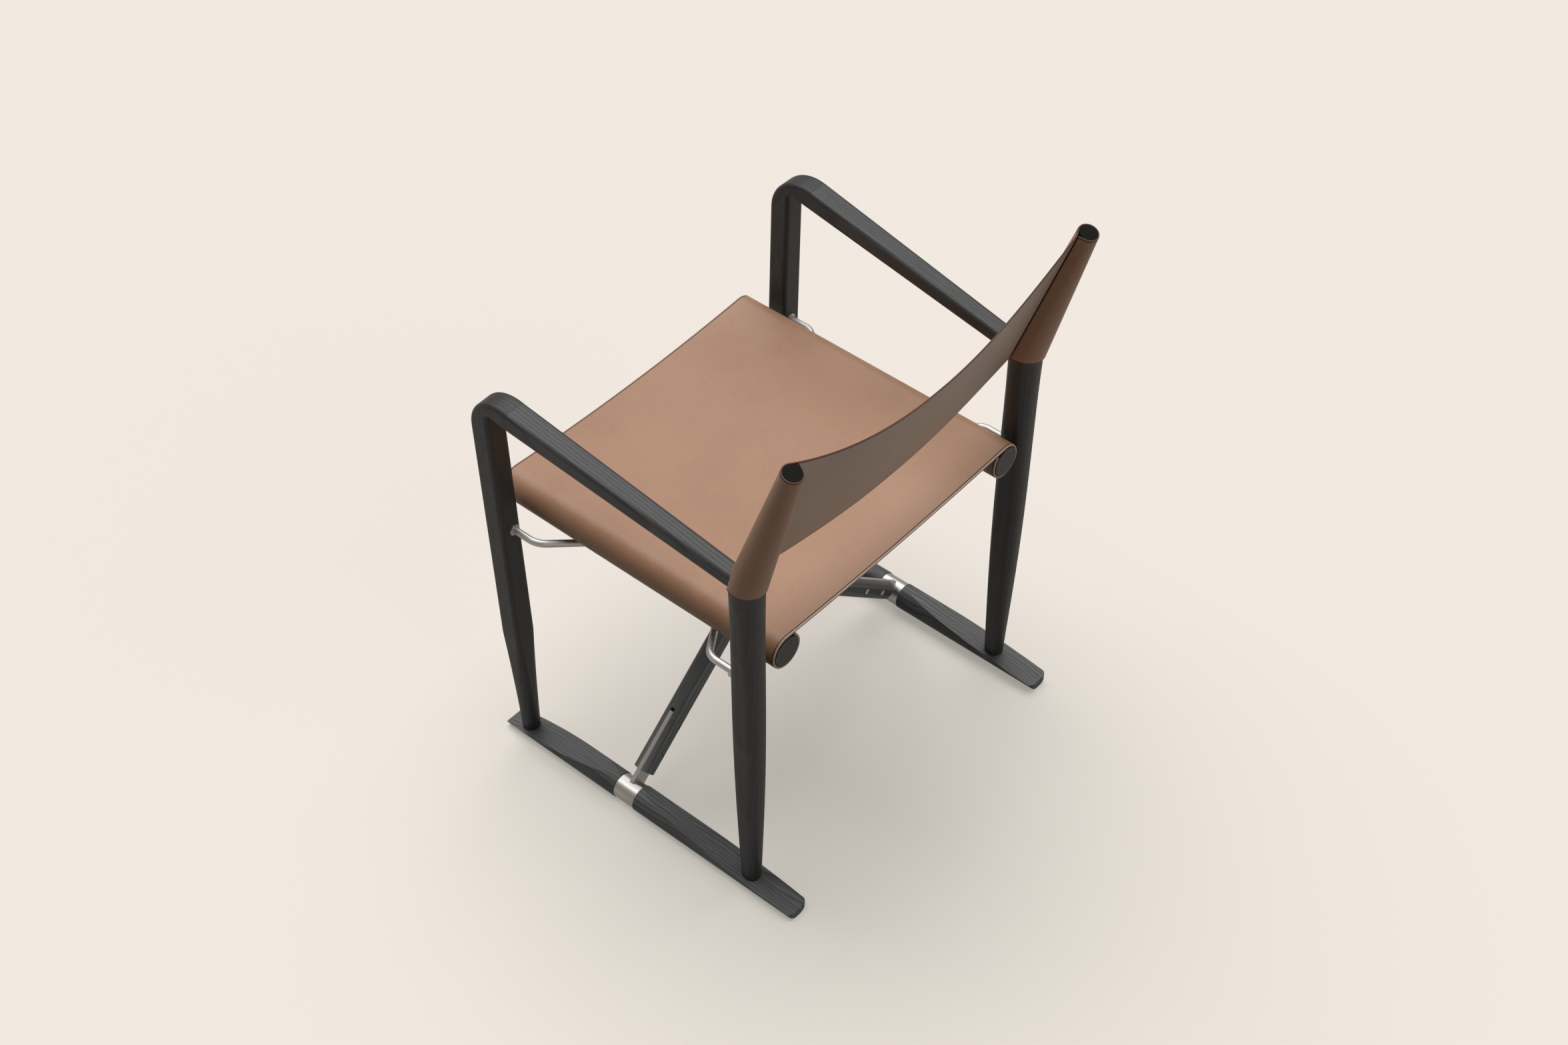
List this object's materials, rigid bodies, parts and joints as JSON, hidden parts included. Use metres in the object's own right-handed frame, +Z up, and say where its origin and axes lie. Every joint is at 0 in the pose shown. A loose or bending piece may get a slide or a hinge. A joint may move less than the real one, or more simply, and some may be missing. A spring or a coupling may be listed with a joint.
{
  "type": "folding armchair",
  "caption": "Folding armchair with dark wooden side frames on floor runners, crossed round braces, steel bails and tan leather sling seat and back.",
  "frame": {"origin": "on the floor, under the middle of the chair's overall width and depth", "axes": "+Z up, +Y towards the chair's rear, +X towards the sitter's left"},
  "size_m": [0.607, 0.537, 0.8242],
  "materials": {
    "dark_ash": "stained dark, open grain, satin",
    "tan_leather": "smooth saddle leather, satin",
    "steel": "satin"
  },
  "bodies": {
    "frame_right": {"right_front_leg": "dark_ash", "right_rear_leg": "dark_ash", "right_armrest": "dark_ash", "right_arm_dowels": "dark_ash", "right_runner_front": "dark_ash", "right_runner_rear": "dark_ash", "right_axle": "steel", "right_bail_bushes": "steel", "right_back_sleeve": "tan_leather"},
    "brace_front": {"front_brace": "dark_ash", "front_brace_screws": "steel", "front_brace_collar": "steel", "front_brace_tongue": "steel", "left_seat_rail": "dark_ash", "pivot_bolt": "steel", "pivot_nut": "steel", "pivot_washer": "steel"},
    "brace_rear": {"rear_brace": "dark_ash", "rear_brace_screws": "steel", "rear_brace_collar": "steel", "rear_brace_tongue": "steel", "right_seat_rail": "dark_ash"},
    "frame_left": {"left_front_leg": "dark_ash", "left_rear_leg": "dark_ash", "left_armrest": "dark_ash", "left_arm_dowels": "dark_ash", "left_runner_front": "dark_ash", "left_runner_rear": "dark_ash", "left_axle": "steel", "left_bail_bushes": "steel", "left_back_sleeve": "tan_leather"},
    "bail_right": {"right_bail": "steel"},
    "bail_left": {"left_bail": "steel"},
    "seat_right": {"right_seat": "tan_leather"},
    "seat_left": {"left_seat": "tan_leather"},
    "back_right": {"right_back_panel": "tan_leather"},
    "back_left": {"left_back_panel": "tan_leather"}
  },
  "joints": [
    {"name": "fold", "type": "hinge", "parent": "frame_right", "child": "brace_front", "pos_m": [0.265, -0.04183, 0.019], "axis": [0, 1, 0], "range_deg": [0, 34.7]},
    {"name": "brace_cross", "type": "hinge", "parent": "brace_front", "child": "brace_rear", "pos_m": [0, -0.02483, 0.24888], "axis": [0, 1, 0], "range_deg": [-74.02, 0]},
    {"name": "left_frame_turn", "type": "hinge", "parent": "brace_rear", "child": "frame_left", "pos_m": [-0.265, -0.00783, 0.019], "axis": [0, 1, 0], "range_deg": [0, 34.72]},
    {"name": "right_bail_turn", "type": "hinge", "parent": "frame_right", "child": "bail_right", "pos_m": [0.27484, -0.02933, 0.42], "axis": [0, 1, 0], "range_deg": [0, 71.3]},
    {"name": "left_bail_turn", "type": "hinge", "parent": "frame_left", "child": "bail_left", "pos_m": [-0.27484, -0.02933, 0.42], "axis": [0, 1, 0], "range_deg": [-71.3, 0]},
    {"name": "seat_rail_turn", "type": "hinge", "parent": "brace_rear", "child": "seat_right", "pos_m": [0.221, -0.02933, 0.4406], "axis": [0, 1, 0], "range_deg": [-41.29, 0], "deforming": ["right_seat"]},
    {"name": "seat_crease", "type": "hinge", "parent": "seat_right", "child": "seat_left", "pos_m": [0, -0.02933, 0.45715], "axis": [0, 1, 0], "range_deg": [0, 156.57], "deforming": ["left_seat"]},
    {"name": "right_back_turn", "type": "hinge", "parent": "frame_right", "child": "back_right", "pos_m": [0.27506, 0.21445, 0.68932], "axis": [-0.1445, 0.2943, 0.9447], "range_deg": [-65.41, 0], "deforming": ["right_back_panel", "right_back_sleeve"]},
    {"name": "left_back_turn", "type": "hinge", "parent": "frame_left", "child": "back_left", "pos_m": [-0.27506, 0.21445, 0.68932], "axis": [0.1445, 0.2943, 0.9447], "range_deg": [0, 65.41], "deforming": ["left_back_panel", "left_back_sleeve"]}
  ],
  "couplings": [
    {"joint": "brace_cross", "follows": "fold", "ratio": -2.1326},
    {"joint": "left_frame_turn", "follows": "fold", "ratio": 1},
    {"joint": "right_bail_turn", "follows": "fold", "ratio": 2.0542},
    {"joint": "left_bail_turn", "follows": "fold", "ratio": -2.0542},
    {"joint": "seat_rail_turn", "follows": "fold", "ratio": -1.1894},
    {"joint": "seat_crease", "follows": "fold", "ratio": 4.5114},
    {"joint": "right_back_turn", "follows": "fold", "ratio": -1.8845},
    {"joint": "left_back_turn", "follows": "fold", "ratio": 1.8845}
  ]
}
